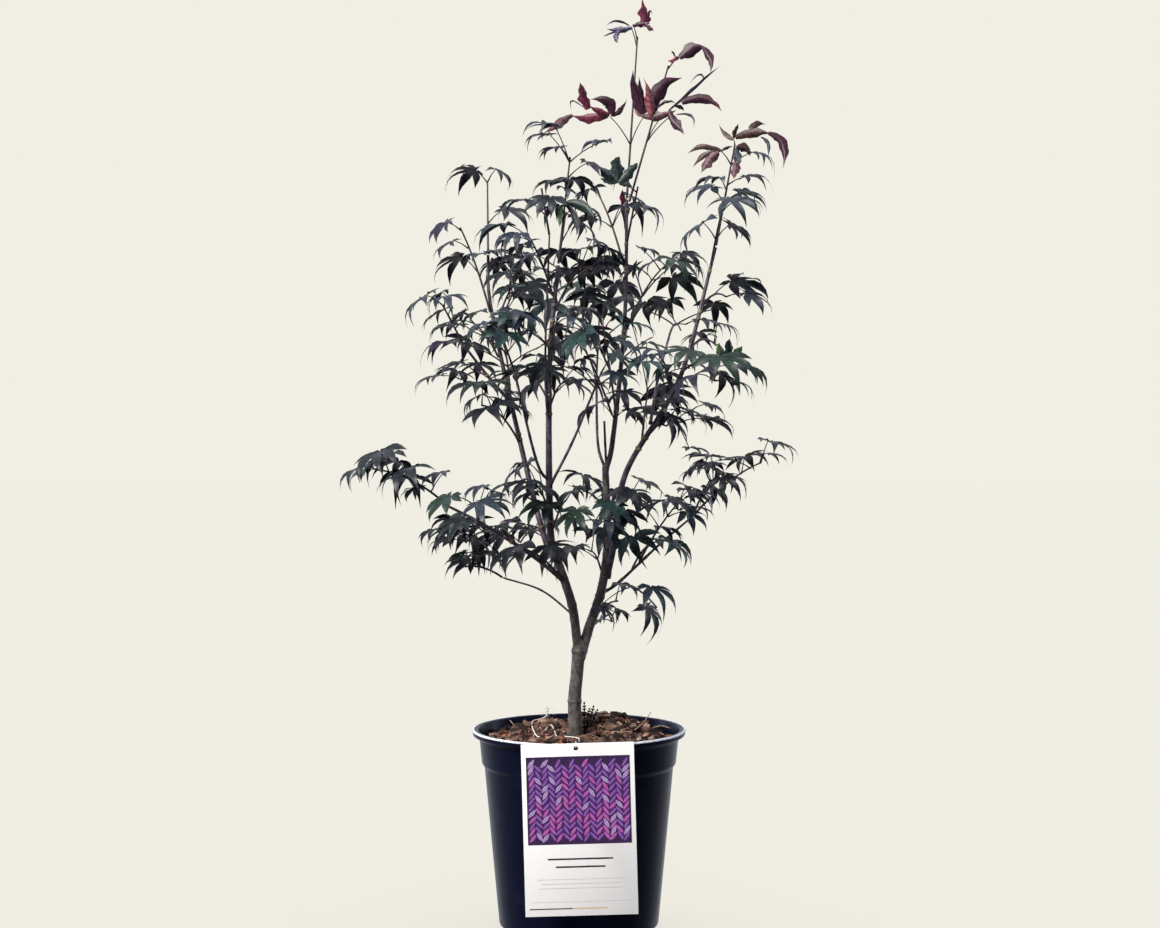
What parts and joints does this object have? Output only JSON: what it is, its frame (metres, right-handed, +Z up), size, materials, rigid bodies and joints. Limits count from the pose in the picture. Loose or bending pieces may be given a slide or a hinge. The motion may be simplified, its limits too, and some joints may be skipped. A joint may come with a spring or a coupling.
{
  "type": "potted japanese maple",
  "caption": "Young japanese maple with upright leaders and open tiers of lobed leaves, in a round nursery pot with soil and a plain hanging label.",
  "frame": {"origin": "centre of the pot's flat underside", "axes": "+Z up, +Y from the hanging label towards the back, +X to the right seen from the label's side"},
  "size_m": [0.4439, 0.3199, 0.8675],
  "materials": {
    "pot_plastic": "dark navy moulded plastic, satin",
    "potting_mix": "moist bark and coir potting mix",
    "label_card": "white coated card",
    "label_string": "thin white twine",
    "bark": "grey-brown bark",
    "young_bark": "smooth dark purplish bark",
    "leaf_green": "dark slate-green leaf",
    "leaf_purple": "dark purple leaf",
    "leaf_red": "red new growth"
  },
  "bodies": {
    "root": {"centre_back": "leaf_green", "centre_leader": "young_bark", "centre_left": "leaf_green", "centre_low": "leaf_green", "centre_right": "leaf_green", "centre_upper": "leaf_purple", "cross_branch": "young_bark", "crown_right": "leaf_red", "crown_top": "leaf_red", "far_left_back": "leaf_green", "far_left_in": "leaf_green", "far_left_leader": "young_bark", "far_left_out": "leaf_purple", "far_left_outer": "young_bark", "far_left_top": "leaf_purple", "front_centre": "leaf_green", "front_left": "leaf_green", "inner_back": "leaf_green", "inner_branch": "young_bark", "inner_left": "young_bark", "label_card": "label_card", "label_string": "label_string", "left_back": "leaf_green", "left_front": "leaf_green", "left_leader": "young_bark", "left_low": "leaf_green", "left_lower": "leaf_green", "left_side": "leaf_green", "left_stem": "bark", "left_top": "leaf_purple", "low_centre_left": "leaf_green", "low_left_bough": "young_bark", "low_left_end": "leaf_green", "low_left_side": "leaf_green", "low_left_twig": "young_bark", "low_left_under": "leaf_green", "low_right_bough": "young_bark", "low_right_end": "leaf_green", "low_right_in": "leaf_green", "low_right_mid": "leaf_green", "low_right_under": "leaf_green", "low_twig_end": "leaf_green", "outer_left": "leaf_green", "outer_left_low": "leaf_green", "pot": "pot_plastic", "right_droop": "leaf_green", "right_inner": "young_bark", "right_inner_back": "leaf_green", "right_leader": "young_bark", "right_low": "leaf_green", "right_lower_in": "leaf_green", "right_mid": "leaf_green", "right_outer": "leaf_green", "right_side": "leaf_purple", "right_stem": "bark", "right_top": "leaf_purple", "soil": "potting_mix", "stem_right": "leaf_green", "trunk": "bark"}
  },
  "joints": []
}
